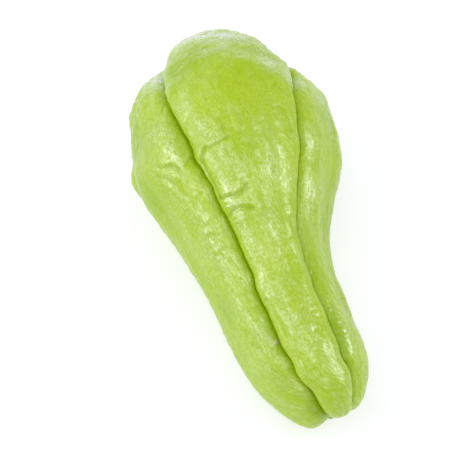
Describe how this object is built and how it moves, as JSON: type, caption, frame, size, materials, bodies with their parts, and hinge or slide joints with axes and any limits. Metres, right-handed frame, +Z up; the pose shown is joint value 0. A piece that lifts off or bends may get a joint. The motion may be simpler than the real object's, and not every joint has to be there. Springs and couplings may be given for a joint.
{
  "type": "chayote squash",
  "caption": "Whole chayote, a pear-shaped pale green fruit with deep lengthwise furrows and rounded lobes, lying on its side with its broad crown lobe up.",
  "frame": {"origin": "on the surface that the fruit lies on, under the middle of its box", "axes": "+Z up, with the crown lobe on top; +Y along the fruit's length, from the stem end to the blossom end; +X to the right seen from the stem end"},
  "size_m": [0.0794, 0.1648, 0.0733],
  "materials": {
    "skin": "waxy yellow-green fruit skin, semi-gloss, with fine wrinkles, darker green in the furrows"
  },
  "bodies": {
    "root": {"chayote": "skin"}
  },
  "joints": []
}
